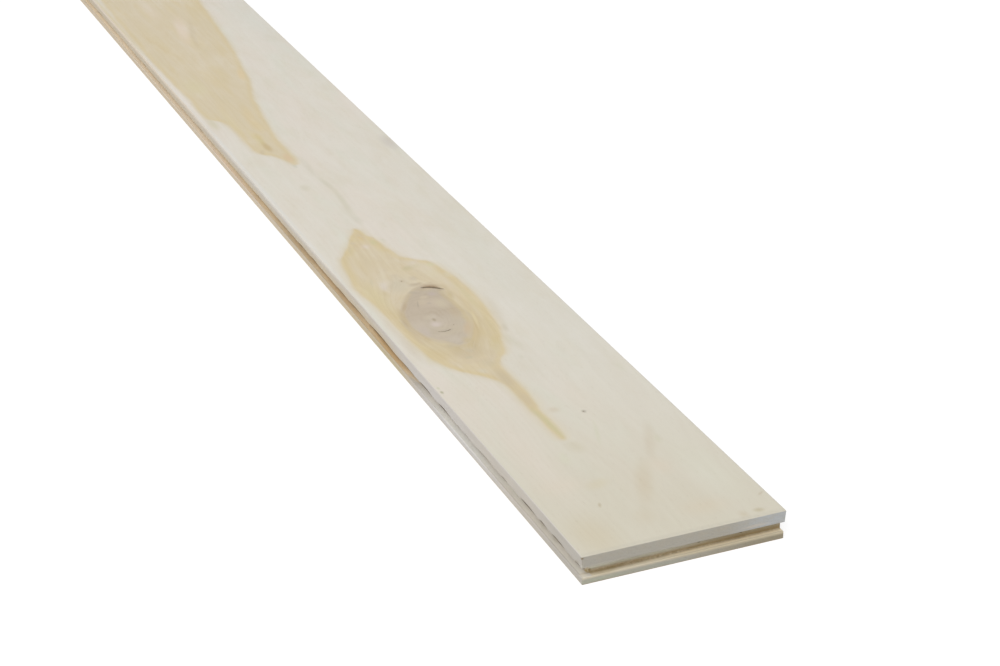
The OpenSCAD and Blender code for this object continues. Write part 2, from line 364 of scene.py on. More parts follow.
class BoardColours(PropertyGroup):
    sapwood: colour_value("Sapwood", "Whitewashed pale wood of the face", 217, 211, 198)
    sapwood_warm: colour_value("Warm sapwood", "Rosier clouds in the pale wood", 218, 208, 195)
    sapwood_cool: colour_value("Cool sapwood", "Greener clouds in the pale wood", 212, 211, 196)
    # Sapwood at the end is yellower and darker; the darkening is partly painted shade.
    sapwood_end: colour_value("Sapwood at the end", "Yellower face near the grooved end", 205, 199, 180)
    thin_wash: colour_value("Thin wash", "Wood that shows where the wash is thin", 198, 185, 148)
    thick_wash: colour_value("Thick wash", "Wash where it lies thickest", 229, 226, 222)
    front_rub: colour_value("Front edge", "Rubbed face along the grooved end", 194, 189, 173)
    heartwood: colour_value("Heartwood", "Tan wood of the long patch", 209, 195, 165)
    heart_rim: colour_value("Heartwood rim", "Ochre wood around the knot", 208, 190, 145)
    heart_pale: colour_value("Pale heartwood", "Rosy streaks in the tan wood", 214, 202, 182)
    knot: colour_value("Knot", "Grey-brown wood of the knot", 188, 175, 155)
    knot_pale: colour_value("Pale knot", "Rosy clouds in the knot", 198, 184, 166)
    knot_ring: colour_value("Knot rings", "Darker rings of the knot", 178, 162, 140)
    # The crack colour stands for painted shade inside the cracks and pin holes, and for the dark bark
    # round the knots on the back.
    crack: colour_value("Crack", "Inside of cracks and pin holes", 96, 82, 60)
    lip_paint: colour_value("Lip wash", "Wash on the long sides", 192, 187, 180)
    lip_warm: colour_value("Warm lip wash", "Wash over warm wood on the long sides", 194, 181, 161)
    lip_low: colour_value("Lower lip", "Thin wash on the lower lip away from the end", 188, 172, 141)
    lip_far: colour_value("Far lower lip", "Thin wash on the far part of the lower lip", 199, 183, 158)
    lip_crown: colour_value("Lip crown", "Upper part of the lip away from the end", 211, 206, 197)
    inner_wash: colour_value("Wash in the groove", "Thick wash by the grooved end", 218, 213, 202)
    lip_grey: colour_value("Grey lip wash", "Thin grey wash near the grooved end", 174, 169, 160)
    raw_side: colour_value("Raw side", "Bare wood inside the side groove", 224, 208, 178)
    raw_side_dark: colour_value("Dark raw side", "Darker streaks in the side groove", 202, 176, 136)
    # Painted shade: a dark colour laid deep in the side groove, where the upper lip shades it.
    deep_shade: colour_value("Groove pocket", "Dusty corner deep in the side groove", 96, 76, 50)
    end_paint: colour_value("End wash", "Grey wash on the ends", 172, 167, 156)
    end_grey: colour_value("Bluish end wash", "Wash by the tongue's side", 180, 182, 182)
    end_low: colour_value("Low end wash", "Wash on the lower lip of an end", 152, 142, 120)
    end_mist: colour_value("Misted back", "Thin wash on the back of the end groove", 204, 200, 181)
    end_ledge: colour_value("End ledge", "Sawn floor of the end groove", 214, 203, 179)
    end_crest: colour_value("End crest", "Palest line along the end ledge", 238, 223, 192)
    end_brow: colour_value("End brow", "Rim of the end ledge by the tongue's side", 202, 189, 161)
    raw_end: colour_value("Raw end", "Bare end grain", 214, 198, 168)
    raw_end_dark: colour_value("Dark raw end", "Burnished end grain in the groove", 152, 130, 90)
    back: colour_value("Back", "Bare planed wood of the back", 212, 194, 162)
    back_dark: colour_value("Dark back", "Darker grain of the back", 188, 162, 122)
    back_knot: colour_value("Back knot", "Wood of the knots on the back", 172, 142, 104)
    back_knot_ring: colour_value("Back knot rings", "Rings of the knots on the back", 124, 94, 62)


class StageSettings(PropertyGroup):
    azimuth: FloatProperty(
        name="Azimuth", description="Turn of the camera from straight along the board",
        default=math.radians(23.23), subtype="ANGLE",
    )
    elevation: FloatProperty(
        name="Elevation", description="How steeply the camera looks down",
        default=math.radians(26.07), subtype="ANGLE",
    )
    distance: length_value("Distance", "From the camera to the point it aims at", 1.544, high=20)
    aim_across: length_value("Aim across", "Aimed point, from the board's middle", 20.3 * MM)
    aim_along: length_value("Aim along", "Aimed point, from the grooved end", 307.4 * MM)
    lens: FloatProperty(name="Lens", description="Focal length", default=83.09, unit="CAMERA")
    floor: colour_value("Floor", "Plain pale floor", 224, 224, 223)
    bearing: length_value("Bearing", "How far the floor reaches under the board's edges", 2 * MM)
    glow: FloatProperty(name="Glow", description="Keeps the floor white", default=0.80)
    lamp: FloatProperty(name="Lamp", description="Power of the softbox", default=230, unit="POWER")
    sky: FloatProperty(name="Sky", description="Strength of the even room light", default=0.62)


# ---------------------------------------------------------------- milling the board


def long_edges(bm, reach):
    """The edges that run the whole length of a blank."""
    return [
        edge for edge in bm.edges
        if abs(edge.verts[0].co.y - edge.verts[1].co.y) > reach / 2
    ]


def bevel_run(bm, reach, places, width, segments):
    """Rounds the full-length edges at the given places of the section."""
    edges = []
    for edge in long_edges(bm, reach):
        at = edge.verts[0].co
        if any(max(abs(at.x - x), abs(at.z - z)) < SAME_PLACE for x, z in places):
            edges.append(edge)
    bmesh.ops.bevel(
        bm, geom=edges, offset=width, offset_type="OFFSET", affect="EDGES",
        segments=segments, profile=0.5, material=-1, clamp_overlap=True,
    )


def milled_run(sizes, span, length, depth, tongue_out, proud=0.0):
    """One profile run along Y, with its groove at x = 0 and its tongue past x = span."""
    top = sizes.thickness
    joint_top = top - sizes.wear
    joint_floor = joint_top - sizes.groove
    tongue_top = joint_top - sizes.play / 2
    tongue_floor = joint_floor + sizes.play / 2
    lip = sizes.undercut
    back = sizes.setback
    foot = span - lip
    nose = span + tongue_out
    upright = top - 1.2 * sizes.arris
    outline = [
        (0, top + proud), (0, upright), (lip, joint_top), (depth, joint_top),
        (depth, joint_floor), (back, joint_floor), (back, -proud), (foot, -proud),
        (foot, tongue_floor), (nose, tongue_floor), (nose, tongue_top), (foot, tongue_top),
        (span, upright), (span, top + proud),
    ]
    bm = bmesh.new()
    section = bm.faces.new([bm.verts.new((x, -OVERRUN, z)) for x, z in outline])
    run = bmesh.ops.extrude_face_region(bm, geom=[section], use_keep_orig=True)
    far = [item for item in run["geom"] if isinstance(item, bmesh.types.BMVert)]
    reach = length + 2 * OVERRUN
    bmesh.ops.translate(bm, vec=(0, reach, 0), verts=far)
    for first, second, width, segments in (
        (0, 13, sizes.arris, 2), (6, 7, sizes.back_arris, 1), (2, 5, sizes.mouth, 2),
        (3, 4, sizes.corner, 3), (9, 10, sizes.nose, 4),
    ):
        bevel_run(bm, reach, [outline[first], outline[second]], width, segments)
    return bm, reach


def lay_rows(bm, reach, columns, row):
    """Splits the flat faces into columns and the whole run into rows."""
    for x in columns:
        bmesh.ops.bisect_plane(
            bm, geom=bm.verts[:] + bm.edges[:] + bm.faces[:], dist=WELD,
            plane_co=(x, 0, 0), plane_no=(1, 0, 0),
        )
    bmesh.ops.subdivide_edges(bm, edges=long_edges(bm, reach), cuts=round(reach / row) - 1)


def new_object(name, data):
    """An object in the scene, with the given mesh, light or camera."""
    made = bpy.data.objects.new(name, data)
    bpy.context.collection.objects.link(made)
    return made


def helper_object(bm, name):
    """Puts a finished bmesh into a new object and frees it."""
    bmesh.ops.recalc_face_normals(bm, faces=bm.faces[:])
    mesh = bpy.data.meshes.new(name)
    bm.to_mesh(mesh)
    bm.free()
    return new_object(name, mesh)


def side_run(sizes):
    """The side profile, from before the grooved end to past the end tongue."""
    bm, reach = milled_run(sizes, sizes.width, sizes.length, sizes.side_depth, sizes.side_tongue)
    count = round((sizes.width - sizes.side_depth) / COLUMN)
    columns = [sizes.side_depth + COLUMN * step for step in range(1, count - 1)]
    lay_rows(bm, reach, columns, sizes.row)
    return helper_object(bm, "side_run")


def end_run(sizes):
    """The end profile, turned so that it runs across the board."""
    bm, reach = milled_run(
        sizes, sizes.length, sizes.width, sizes.end_depth, sizes.end_tongue, PROUD
    )
    lay_rows(bm, reach, [], sizes.row)
    for vert in bm.verts:
        vert.co = (vert.co.y, vert.co.x, vert.co.z)
    return helper_object(bm, "end_run")


def tongue_waste(sizes):
    """The block of waste where the side tongue is trimmed at the grooved end."""
    joint_top = sizes.thickness - sizes.wear
    low = Vector((sizes.width - sizes.undercut, -OVERRUN, joint_top - sizes.groove))
    high = Vector((sizes.width + OVERRUN, sizes.trim, joint_top))
    bm = bmesh.new()
    bmesh.ops.create_cube(bm, size=1.0)
    bmesh.ops.scale(bm, vec=high - low, verts=bm.verts[:])
    bmesh.ops.translate(bm, vec=(low + high) / 2, verts=bm.verts[:])
    return helper_object(bm, "tongue_waste")


def cut_with(body, tool, operation):
    """Cuts one helper with another, and leaves the result in the first."""
    cutter = body.modifiers.new(tool.name, "BOOLEAN")
    cutter.operation = operation
    cutter.solver = "EXACT"
    cutter.object = tool
    graph = bpy.context.evaluated_depsgraph_get()
    result = bpy.data.meshes.new_from_object(body.evaluated_get(graph))
    body.modifiers.clear()
    body.data = result
    bpy.data.objects.remove(tool)


def refine(bm, points, radius, cell):
    """Cuts the mesh finer around some points, until no edge there is longer than a cell."""
    while True:
        near = [
            vert for vert in bm.verts
            if any((vert.co - point).length_squared < radius ** 2 for point in points)
        ]
        edges = [edge for vert in near for edge in vert.link_edges if edge.calc_length() > cell]
        if not edges:
            return
        edges = list(dict.fromkeys(edges))
        bmesh.ops.subdivide_edges(bm, edges=edges, cuts=1, use_grid_fill=True)


def chip_height(along):
    """Share of the tallest chip that is torn off the lip at one place along the board."""
    tallest = max(chip[2] for chip in LIP_CHIPS)
    height = FRAY_HEIGHT * max(0.0, noise.noise(Vector((0.0, along * FRAY_PACE, 3.0))))
    for near, far, tall in LIP_CHIPS:
        if near < along < far:
            share = (along - near) / (far - near)
            height = max(height, tall * math.sin(math.pi * share ** 1.3) ** 0.6)
    return height / tallest


def chip_lip(bm, sizes, bare):
    """Tears the lower edge of the side groove's upper lip along the grain."""
    joint_top = sizes.thickness - sizes.wear
    for vert in bm.verts:
        across, along, height = vert.co
        near_lip = across < sizes.undercut + 2 * sizes.mouth
        if not near_lip or abs(height - joint_top) > 1.4 * sizes.mouth:
            continue
        torn = chip_height(along / MM) * sizes.chip
        vert.co.z += torn
        if across > sizes.undercut + 0.1 * sizes.mouth:
            vert[bare] = min(1.0, torn / sizes.mouth)


def sink_line(bm, bare, top, points, width, depth):
    """Opens a crack along a few points of the face, at its deepest halfway along."""
    points = [Vector((x * MM, y * MM)) for x, y in points]
    total = sum((b - a).length for a, b in zip(points, points[1:]))
    for vert in bm.verts:
        if vert.normal.z < 0.9 or vert.co.z < top - 0.1 * MM:
            continue
        here = vert.co.xy
        best, at, run = width * MM, 0.0, 0.0
        for a, b in zip(points, points[1:]):
            step = b - a
            share = min(1.0, max(0.0, (here - a).dot(step) / step.length_squared))
            gap = (here - a - step * share).length
            if gap < best:
                best, at = gap, (run + step.length * share) / total
            run += step.length
        open_here = width * MM / 2 * (1 - (2 * at - 1) ** 2) ** 0.5
        if best < open_here:
            deep = 1 - (best / open_here) ** 2
            vert.co.z -= depth * MM * deep
            vert[bare] = max(vert[bare], min(1.0, 1.6 * deep))


def sink_pit(bm, bare, centre, radius, depth):
    """Presses a small dent into whatever surface is near a point."""
    centre = Vector(centre) * MM
    radius *= MM
    for vert in bm.verts:
        gap = (vert.co - centre).length
        if gap < radius:
            deep = (1 - (gap / radius) ** 2) ** 2
            vert.co -= vert.normal * depth * MM * deep
            vert[bare] = max(vert[bare], deep)


def weather(bm, sizes):
    """Adds the chips, cracks and pin holes to the clean milled board."""
    bare = bm.verts.layers.float.new("bare")
    bm.normal_update()
    chip_lip(bm, sizes, bare)
    top = sizes.thickness
    for points, width, _ in CRACKS:
        places = [Vector((x * MM, y * MM, top)) for x, y in points]
        refine(bm, places, (CRACK_ROOM + width) * MM, CRACK_CELL)
    for x, y, radius in PIN_HOLES:
        refine(bm, [Vector((x * MM, y * MM, top))], (HOLE_ROOM + radius) * MM, HOLE_CELL)
    bm.normal_update()
    for points, width, depth in CRACKS:
        sink_line(bm, bare, top, points, width, depth)
    for x, y, radius in PIN_HOLES:
        sink_pit(bm, bare, (x, y, top / MM), radius, HOLE_DEPTH * radius)
    bmesh.ops.recalc_face_normals(bm, faces=bm.faces[:])


def finish_of(face, sizes):
    """The name of the finish of the side of the board that a face of the mesh is on."""
    normal = face.normal
    place = face.calc_center_median()
    if normal.z > 0.3 and place.z > sizes.thickness - 2 * sizes.arris - 2 * MM:
        return "face"
    if normal.z < -0.3 and place.z < sizes.back_arris:
        return "back"
    if abs(normal.y) > max(0.5, abs(normal.x)):
        return "end_edge"
    on_ledge = sizes.side_depth < place.x < sizes.width and abs(normal.x) < 0.5
    if on_ledge and place.y < sizes.end_depth + 0.1 * MM:
        return "end_edge"
    return "long_edge"


def mill_board(sizes):
    """The whole board as one object, in the frame of the construction model."""
    body = side_run(sizes)
    cut_with(body, end_run(sizes), "INTERSECT")
    cut_with(body, tongue_waste(sizes), "DIFFERENCE")
    body.name = "tongue_and_groove_board"
    body.data.name = body.name
    bm = bmesh.new()
    bm.from_mesh(body.data)
    bmesh.ops.remove_doubles(bm, verts=bm.verts[:], dist=WELD)
    weather(bm, sizes)
    bm.normal_update()
    names = list(FINISHES)
    for face in bm.faces:
        face.material_index = names.index(finish_of(face, sizes))
        face.smooth = True
    bmesh.ops.translate(bm, vec=(-sizes.width / 2, -sizes.length / 2, 0), verts=bm.verts[:])
    bm.to_mesh(body.data)
    bm.free()
    body.data.set_sharp_from_angle(angle=math.radians(50))
    shading = body.modifiers.new("even_shading", "WEIGHTED_NORMAL")
    shading.keep_sharp = True
    return body


# ---------------------------------------------------------------- finishes: small node helpers


class Flow:
    """What a node puts out, a number or a place, to reckon with as with a plain one."""

    def __init__(self, node, name=0):
        self.socket = node.outputs[name]
        self.tree = node.id_data

    def __add__(self, other):
        return reckon("ADD", self, other)

    def __sub__(self, other):
        return reckon("SUBTRACT", self, other)

    def __rsub__(self, other):
        return reckon("SUBTRACT", other, self)

    def __mul__(self, other):
        return reckon("MULTIPLY", self, other)

    def __truediv__(self, other):
        return reckon("DIVIDE", self, other)

    def __rtruediv__(self, other):
        return reckon("DIVIDE", other, self)

    def __pow__(self, other):
        return reckon("POWER", self, other)

    def __abs__(self):
        return reckon("ABSOLUTE", self)

    def least(self, other):
        return reckon("MINIMUM", self, other)

    def most(self, other):
        return reckon("MAXIMUM", self, other)

    def length(self):
        return reckon("LENGTH", self)

    def ramp(self, start, end, low=0.0, high=1.0):
        """Eases from low to high while the value goes from start to end."""
        values = {"Value": self, "From Min": start, "From Max": end, "To Min": low, "To Max": high}
        return Flow(put(self.tree, "MapRange", values, interpolation_type="SMOOTHSTEP"))


def feed(socket, value):
    """Links what a node puts out to an input, or gives the input a plain value."""
    if isinstance(value, bpy.types.Node):
        value = Flow(value)
    if isinstance(value, Flow):
        value.tree.links.new(value.socket, socket)
    elif socket.type == "RGBA":
        socket.default_value = (*value[:3], 1.0)
    else:
        socket.default_value = value


def put(tree, kind, values=None, **settings):
    """Adds a node with its settings, and feeds its inputs."""
    node = tree.nodes.new("ShaderNode" + kind)
    for name, value in settings.items():
        setattr(node, name, value)
    for name, value in (values or {}).items():
        feed(node.inputs[name], value)
    return node


def reckon(operation, *values):
    """One step of maths, with places where the first flow in it is a place."""
    first = next(value for value in values if isinstance(value, Flow))
    kind = "VectorMath" if first.socket.type == "VECTOR" else "Math"
    node = put(first.tree, kind, dict(enumerate(values)), operation=operation)
    return Flow(node, "Value" if operation == "LENGTH" else 0)


def lay(under, over, share):
    """Lays one colour over another: none of it at a share of 0, all of it at 1."""
    return Flow(put(share.tree, "Mix", {0: share, 6: under, 7: over}, data_type="RGBA"), 2)


def split(place):
    """The three numbers of a place."""
    node = put(place.tree, "SeparateXYZ", {0: place})
    return [Flow(node, index) for index in range(3)]


def join(across, along, up):
    """A place from three numbers."""
    return Flow(put(across.tree, "CombineXYZ", {0: across, 1: along, 2: up}))


def turned(place, angle):
    """A place turned about the upright axis."""
    values = {"Vector": place, "Angle": angle}
    return Flow(put(place.tree, "VectorRotate", values, rotation_type="Z_AXIS"))


def clumps(place, detail, rough):
    """Noise from 0 to 1 whose clumps are about one unit wide."""
    values = {"Vector": place, "Scale": 1.0, "Detail": detail, "Roughness": rough}
    return Flow(put(place.tree, "TexNoise", values))


def cloud(place, size, detail=2.0, rough=0.5, shift=(0, 0, 0)):
    """Noise from 0 to 1 whose clouds have about the given size in millimetres."""
    scale = tuple(1 / length for length in size)
    values = {"Vector": place, "Location": shift, "Scale": scale}
    return clumps(Flow(put(place.tree, "Mapping", values)), detail, rough)


def curve(value, points, tall=1.0):
    """Reads a given curve of points (value, height), none of them higher than tall."""
    low, high = points[0][0], points[-1][0]
    share = put(value.tree, "MapRange", {"Value": value, "From Min": low, "From Max": high})
    node = put(value.tree, "FloatCurve", {"Value": share})
    line = node.mapping.curves[0]
    stops = [((at - low) / (high - low), height / tall) for at, height in points]
    line.points[0].location = stops[0]
    line.points[1].location = stops[-1]
    for stop in stops[1:-1]:
        line.points.new(*stop)
    node.mapping.update()
    return Flow(node) * tall


def socket_kind(is_place):
    return "NodeSocketVector" if is_place else "NodeSocketFloat"


def start_group(name, **inputs):
    """A new node group in the place of an old one, and what comes in by each of its inputs."""
    old = bpy.data.node_groups.get(name)
    if old:
        bpy.data.node_groups.remove(old)
    tree = bpy.data.node_groups.new(name, "ShaderNodeTree")
    for label, value in inputs.items():
        kind = socket_kind(isinstance(value, tuple))
        made = tree.interface.new_socket(label, in_out="INPUT", socket_type=kind)
        made.default_value = value
    node = tree.nodes.new("NodeGroupInput")
    return [Flow(node, label) for label in inputs]


def end_group(**results):
    """Gives a node group its outputs."""
    tree = next(iter(results.values())).tree
    for label, value in results.items():
        kind = socket_kind(value.socket.type == "VECTOR")
        tree.interface.new_socket(label, in_out="OUTPUT", socket_type=kind)
    node = tree.nodes.new("NodeGroupOutput")
    for label, value in results.items():
        feed(node.inputs[label], value)


def use(tree, group, **values):
    """Places a group in a material with its own values, and gives what it puts out."""
    node = tree.nodes.new("ShaderNodeGroup")
    node.node_tree = bpy.data.node_groups[group]
    for label, value in values.items():
        feed(node.inputs[label], value)
    return {socket.name: Flow(node, socket.name) for socket in node.outputs}


# ---------------------------------------------------------------- finishes: shared groups


def make_spot_group():
    """A soft-edged oval mark, turned about its middle."""
    place, centre, reach, turn, softness, strength = start_group(
        "soft_spot", Place=ORIGIN, Centre=ORIGIN, Reach=(1, 1, 1), Turn=0.0, Softness=0.6,
        Strength=1.0,
    )
    distance = (turned(place - centre, turn) / reach).length()
    end_group(Mask=distance.ramp(1.0, 1.0 - softness) * strength)


def make_patch_group():
    """A stain between two wavering edges that run along the board, with a rim inside them."""
    across, left, right, softness, rim = start_group(
        "stain_patch", Across=0.0, Left=0.0, Right=1.0, Softness=1.0, Rim=6.0,
    )
    inside = (across - left).least(right - across)
    mask = inside.ramp(softness * -0.5, softness * 0.5)
    golden = mask * inside.ramp(rim, rim * 0.3)
    end_group(Mask=mask, Rim=golden, Halo=inside.ramp(rim * -0.7, 0.0))


def make_fibre_group():
    """Fibres that run along the board, with short dark pores between them."""
    place, fibre, stretch = start_group("wood_fibres", Place=ORIGIN, Fibre=0.5, Stretch=60.0)
    place = place / join(fibre, fibre * stretch, fibre)
    fine = clumps(place, 4.0, 0.62)
    broad = clumps(place * (0.16, 0.3, 0.16), 2.0, 0.5)
    streaks = fine * 0.6 + broad * 0.4
    pores = clumps(place * (0.9, 7.0, 0.9), 1.0, 0.4).ramp(0.66, 0.74)
    end_group(Streaks=streaks.ramp(0.3, 0.7), Pores=pores, Relief=streaks - pores * 0.5)


def make_ring_group():
    """Growth rings about a pith that lies below the board and leans a little."""
    place, pith, lean, spacing = start_group(
        "growth_rings", Place=ORIGIN, Pith=(92, 500, -58), Lean=0.012, Spacing=3.4,
    )
    across, along, up = split(place - pith)
    radius = join(across, 0.0, up - along * lean).length()
    radius = cloud(place, (26, 150, 26), 2.0, 0.45) * 22.0 + radius
    radius = cloud(place, (7, 60, 7), 1.0, 0.5) * 1.6 + radius
    within = reckon("FRACT", radius / spacing)
    end_group(Late=within.ramp(0.15, 0.86) * within.ramp(1.0, 0.9))


def make_knot_group():
    """The grain bent round a knot as water round a stone, and the knot's own leaning rings."""
    place, centre, reach, core, turn, spacing = start_group(
        "round_knot", Place=ORIGIN, Centre=ORIGIN, Reach=(10, 20, DEEP), Core=ORIGIN, Turn=0.0,
        Spacing=2.6,
    )
    away = place - centre
    share = (away / reach).length()
    squeeze = 1.0 / share.most(1.0) ** 2.0
    grain = place - away * join(squeeze, 0.0, 0.0)
    radius = (turned(place - core, turn) / (1.0, 2.15, DEEP)).length()
    radius = (cloud(place, (10, 20, 10), 3.0, 0.6) * 8.0 + radius) / spacing
    within = reckon("FRACT", radius)
    rings = within.ramp(0.1, 0.8) * within.ramp(1.0, 0.85)
    distance = cloud(place, (8, 16, 8), 2.0, 0.5) * 0.5 + (share - 0.25)
    end_group(Grain=grain, Rings=rings, Distance=distance)


def make_wash_group():
    """Where a thin white wash has taken, from 0 for bare wood to 1 for a full coat."""
    place, streaks, cover, patch = start_group(
        "white_wash", Place=ORIGIN, Streaks=0.5, Cover=0.9, Patch=(14, 60, 14),
    )
    level = streaks * 0.22 + clumps(place / patch, 5.0, 0.62)
    miss = 1.12 - cover
    end_group(Cover=level.ramp(miss - 0.09, miss + 0.09))


def make_groups():
    make_spot_group()
    make_patch_group()
    make_fibre_group()
    make_ring_group()
    make_knot_group()
    make_wash_group()


# ---------------------------------------------------------------- finishes: the four materials


def empty_tree(owner):
    """The node tree of a material or a world, cleared."""
    owner.use_nodes = True
    owner.node_tree.nodes.clear()
    return owner.node_tree


def place_on_board(tree):
    """The place on the board in millimetres from its near left corner."""
    values = {
        "Vector": Flow(put(tree, "TexCoord"), "Object"), "Scale": (1 / MM, 1 / MM, 1 / MM),
        "Location": (-LEFT / MM, -NEAR / MM, 0),
    }
    return Flow(put(tree, "Mapping", values))


def finish(tree, colour, rough, relief, depth, strength):
    """Ends a material with its shader: a colour, a roughness and a fine bump."""
    bump = put(tree, "Bump", {"Height": relief, "Strength": strength, "Distance": depth * MM})
    shader = put(tree, "BsdfPrincipled", {"Base Color": colour, "Roughness": rough, "Normal": bump})
    put(tree, "OutputMaterial", {"Surface": shader}).is_active_output = True


def spot(colour, place, centre, reach, turn, softness, tint, strength):
    """Lays one soft oval mark over a colour."""
    mark = use(
        place.tree, "soft_spot", Place=place, Centre=centre, Reach=reach, Turn=math.radians(turn),
        Softness=softness, Strength=strength,
    )
    return lay(colour, tone(*tint), mark["Mask"])


def face_spots(colour, place, marks):
    """Lays marks over a colour in their order, each as deep as the board."""
    for x, y, wide, long, red, green, blue, strength, *more in marks:
        turn, softness = more + [0, 0.9][len(more):]
        tint = (red, green, blue)
        colour = spot(colour, place, (x, y, TOP), (wide, long, DEEP), turn, softness, tint, strength)
    return colour


def edge_spots(colour, place, marks):
    """Lays marks with a height of their own over a colour of an edge."""
    for mark in marks:
        centre, reach, tint, strength = mark[:3], mark[3:6], mark[6:9], mark[9]
        colour = spot(colour, place, centre, reach, 0, 0.8, tint, strength)
    return colour


def stain(outline, across, along, y, outer, inner):
    """A stain between its two edges, and a share that fades to 0 at its two ends."""
    low, high = outline["left"][0][0], outline["left"][-1][0]
    patch = use(
        y.tree, "stain_patch", Across=across, Left=curve(along, outline["left"], WIDEST),
        Right=curve(along, outline["right"], WIDEST), Softness=outline["soft"], Rim=outline["rim"],
    )
    ends = y.ramp(low - outer, low + inner)
    runs_out = high > LENGTH / MM - 1
    return patch, ends if runs_out else ends * y.ramp(high + outer, high - inner)


def bare_wood(tree):
    """How far the wash has been torn off the mesh, from 0 to 1."""
    return Flow(put(tree, "Attribute", attribute_name="bare"), "Fac")


def face_material(tree, colours):
    """The whitewashed face, with two heartwood patches and a knot."""
    place = place_on_board(tree)
    x, y = split(place)[:2]
    figure = use(
        tree, "round_knot", Place=place, Centre=(39.4, 315, TOP), Reach=(20.5, 48, DEEP),
        Core=(36.8, 307, TOP), Turn=math.radians(10), Spacing=2.6,
    )
    grain = figure["Grain"]
    fibres = use(tree, "wood_fibres", Place=grain, Fibre=0.55, Stretch=70.0)
    late = use(tree, "growth_rings", Place=grain)["Late"]

    # Pale sapwood
    rosy = cloud(place, (34, 150, 34), 3.0, 0.55).ramp(0.42, 0.66)
    green = cloud(place, (22, 110, 22), 3.0, 0.6, (7.3, 2.1, 0)).ramp(0.45, 0.7)
    colour = lay(colours.sapwood, colours.sapwood_warm, rosy * 0.55)
    colour = lay(colour, colours.sapwood_cool, green * 0.6)
    # Towards the grooved end the face turns yellower and darker, partly painted shade.
    colour = lay(colour, colours.sapwood_end, y.ramp(260.0, 0.0) * 0.85)
    colour = face_spots(colour, place, SAPWOOD_MARKS)

    # Heartwood in two patches
    wobble = cloud(place, (6, 24, 6)) - 0.5
    across = wobble * 3.0 + x
    along = (cloud(place, (6, 60, 9), 1.0) - 0.5) * 5.0 + y
    streaky = cloud(grain, (6, 90, 6), 3.0, 0.6).ramp(0.35, 0.68)
    golden = cloud(grain, (11, 70, 11), 2.0, 0.5, (3, 9, 0)).ramp(0.5, 0.75)
    arcs = figure["Rings"] * figure["Distance"].ramp(1.5, 1.0)
    heartwood = lay(colours.heartwood, colours.heart_pale, streaky * 0.26)
    heartwood = lay(heartwood, colours.heart_rim, golden * 0.45)
    heartwood = lay(heartwood, colours.heart_rim, late * 0.14)
    for outline in (FAR_PATCH, KNOT_PATCH):
        patch, ends = stain(outline, across, along, y, 2.0, 4.0)
        colour = lay(colour, colours.heartwood, patch["Halo"] * ends * outline["halo"])
        heart = lay(heartwood, colours.heart_rim, patch["Rim"] * ends * outline["gold"])
        heart = lay(heart, colours.heart_pale, arcs * 0.22)
        heart = face_spots(heart, place, outline["marks"])
        in_patch = patch["Mask"] * ends
        colour = lay(colour, heart, in_patch)

    # Clouds where the wash is thinner or thicker
    coat = cloud(place, (15, 46, 15), 5.0, 0.66, (5, 1, 0))
    away = y.ramp(90.0, 300.0, 0.3, 1.0)
    colour = lay(colour, colours.thin_wash, coat.ramp(0.52, 0.34) * away * 0.12)
    colour = lay(colour, colours.thick_wash, coat.ramp(0.5, 0.68) * away * 0.12)

    # The knot
    knot, ends = stain(KNOT, across, wobble * 4.0 + y, y, 1.0, 3.0)
    in_knot = knot["Mask"] * ends
    faint = cloud(place, (8, 16, 8), 2.0, 0.5, (4, 4, 4)).ramp(0.35, 0.7, 0.1, 0.42)
    smoky = cloud(place, (10, 24, 10), 4.0, 0.6, (8, 4, 1)).ramp(0.4, 0.7)
    wood = lay(colours.knot, colours.knot_ring, figure["Rings"] * faint)
    wood = lay(wood, colours.knot_pale, smoky * 0.4)
    wood = lay(wood, colours.heart_rim, knot["Rim"] * 0.35)
    wood = face_spots(wood, place, KNOT["marks"])
    colour = lay(colour, wood, in_knot)
    colour = face_spots(colour, place, FACE_MARKS)

    # Grain over all of it, stronger on the knot and in the patch around it
    heart_share = in_patch.most(in_knot)
    shade = (0.5 - fibres["Streaks"]) * (heart_share * 0.065 + 0.03)
    tint = lay(tone(150, 122, 84), tone(246, 242, 232), reckon("GREATER_THAN", shade, 0.0))
    colour = lay(colour, tint, abs(shade))
    colour = lay(colour, tone(150, 118, 78), late * (heart_share * 0.03 + 0.02))
    colour = lay(colour, tone(150, 128, 96), fibres["Pores"] * 0.10)

    # Worn arris, painted shade on the long arrises, and opened cracks with painted shade in them
    beside = x.least(WIDTH / MM - x)
    edge = beside.least(y.least(LENGTH / MM - y))
    rub = cloud(place, (2.5, 9, 2.5), 3.0, 0.6).ramp(0.5, 0.72)
    colour = lay(colour, colours.raw_side, edge.ramp(0.9, 0.1) * rub * 0.35)
    # The lip's wash laid over the face's long arrises, strongest near the grooved end, is partly the
    # wash running over the edge and partly painted shade that dims the light on them.
    thin = beside.ramp(0.7, 0.2) * y.ramp(330.0, 440.0, 0.85, 0.2)
    colour = lay(colour, colours.lip_paint, thin.most(edge.ramp(0.5, 0.15) * 0.25))
    front = y.ramp(4.4, 0.8) * rub.ramp(0.0, 1.0, 0.4, 0.7)
    colour = lay(colour, colours.front_rub, front)
    # The crack colour is laid most where a crack or pin hole sinks deepest: painted shade.
    bare = bare_wood(tree)
    colour = lay(colour, colours.crack, bare)
    rough = bare * 0.25 + (fibres["Streaks"] * 0.10 + 0.50)
    finish(tree, colour, rough, figure["Rings"] * in_knot * 0.5 + fibres["Relief"], 0.12, 0.35)


def raw_wood(place, fibres, pale, dark, ring_share):
    """Bare wood: streaks, late wood and pores over a pale colour."""
    colour = lay(pale, dark, fibres["Streaks"] * 0.5)
    colour = lay(colour, dark, cloud(place, (12, 80, 12), 3.0, 0.6).ramp(0.4, 0.7) * 0.4)
    colour = lay(colour, dark, use(place.tree, "growth_rings", Place=place)["Late"] * ring_share)
    return lay(colour, tone(96, 72, 44), fibres["Pores"] * 0.4)


